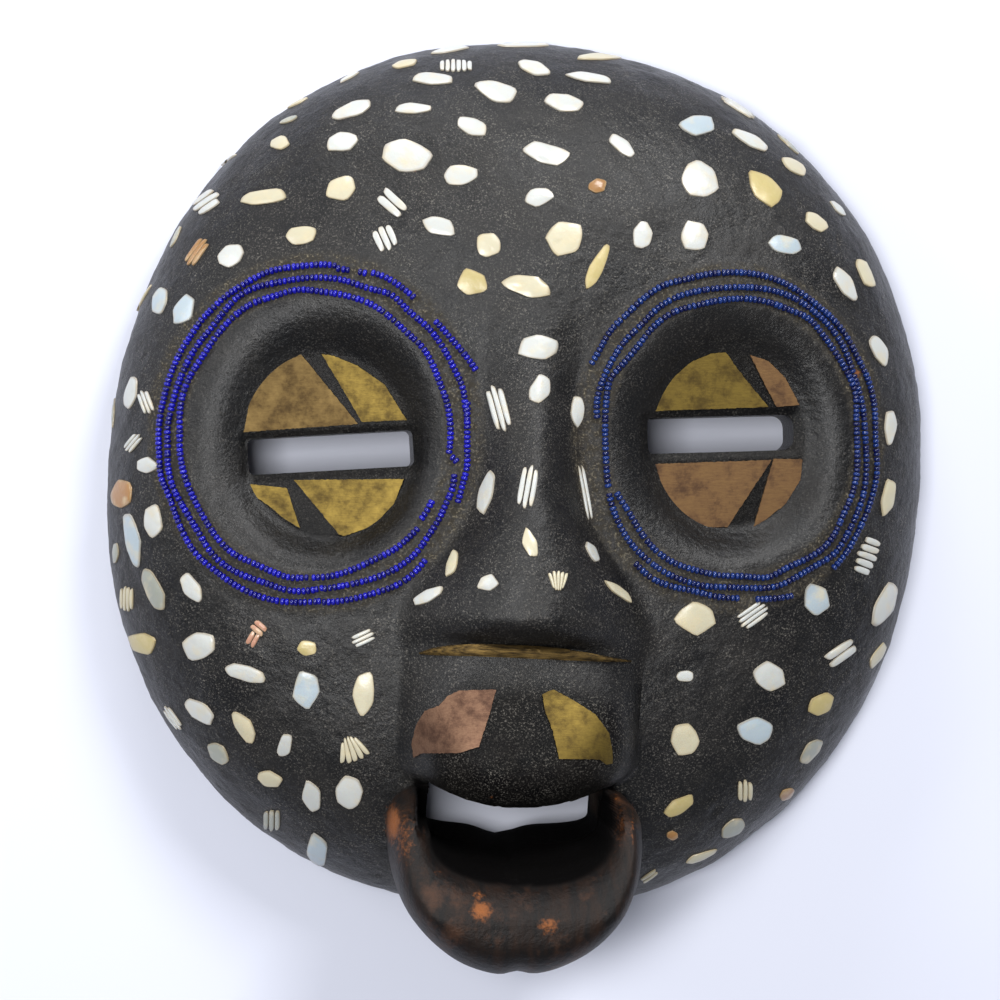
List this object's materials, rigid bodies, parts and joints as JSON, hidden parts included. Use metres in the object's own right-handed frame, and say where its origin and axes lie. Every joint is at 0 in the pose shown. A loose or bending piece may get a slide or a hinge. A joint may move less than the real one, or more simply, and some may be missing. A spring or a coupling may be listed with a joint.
{
  "type": "beaded wooden mask",
  "caption": "Round carved face mask, hollow behind, with slit eyes ringed in beads, sheet metal plates, set shell chips and a jutting open jaw.",
  "frame": {"origin": "on the plane of the flat back rim, under the middle of the outer sizes", "axes": "+Z out of the face, +Y towards the crown, +X to the right as a viewer sees the face"},
  "size_m": [0.296, 0.3264, 0.106],
  "materials": {
    "wood": "black paint, satin, worn at the mouth",
    "brass": "satin, tarnished",
    "copper": "copper sheet, satin, tarnished",
    "beads": "opaque blue, glossy",
    "shell": "sea shell, polished"
  },
  "bodies": {
    "root": {"mask": "wood", "left_plate_1": "copper", "left_plate_2": "brass", "left_plate_3": "brass", "left_plate_4": "brass", "right_plate_1": "brass", "right_plate_2": "copper", "right_plate_3": "copper", "right_plate_4": "copper", "muzzle_plate_left": "copper", "muzzle_plate_right": "brass", "nose_strip": "brass", "bead_left_outer": "beads", "bead_left_outer_top": "beads", "bead_left_outer_low": "beads", "bead_left_outer_side": "beads", "bead_left_middle": "beads", "bead_left_middle_low": "beads", "bead_left_inner": "beads", "bead_left_inner_low": "beads", "bead_left_inner_end": "beads", "bead_right_outer": "beads", "bead_right_outer_side": "beads", "bead_right_outer_low": "beads", "bead_right_middle": "beads", "bead_right_inner": "beads", "shell_01": "shell", "shell_02": "shell", "shell_03": "shell", "shell_04": "shell", "shell_05": "shell", "shell_06": "shell", "shell_07": "shell", "shell_08": "shell", "shell_09": "shell", "shell_10": "shell", "shell_11": "shell", "shell_12": "shell", "shell_13": "shell", "shell_14": "shell", "shell_15": "shell", "shell_16": "shell", "shell_17": "shell", "shell_18": "shell", "shell_19": "shell", "shell_20": "shell", "shell_21": "shell", "shell_22": "shell", "shell_23": "shell", "shell_24": "shell", "shell_25": "shell", "shell_26": "shell", "shell_27": "shell", "shell_28": "shell", "shell_29": "shell", "shell_30": "shell", "shell_31": "shell", "shell_32": "shell", "shell_33": "shell", "shell_34": "shell"}
  },
  "joints": []
}
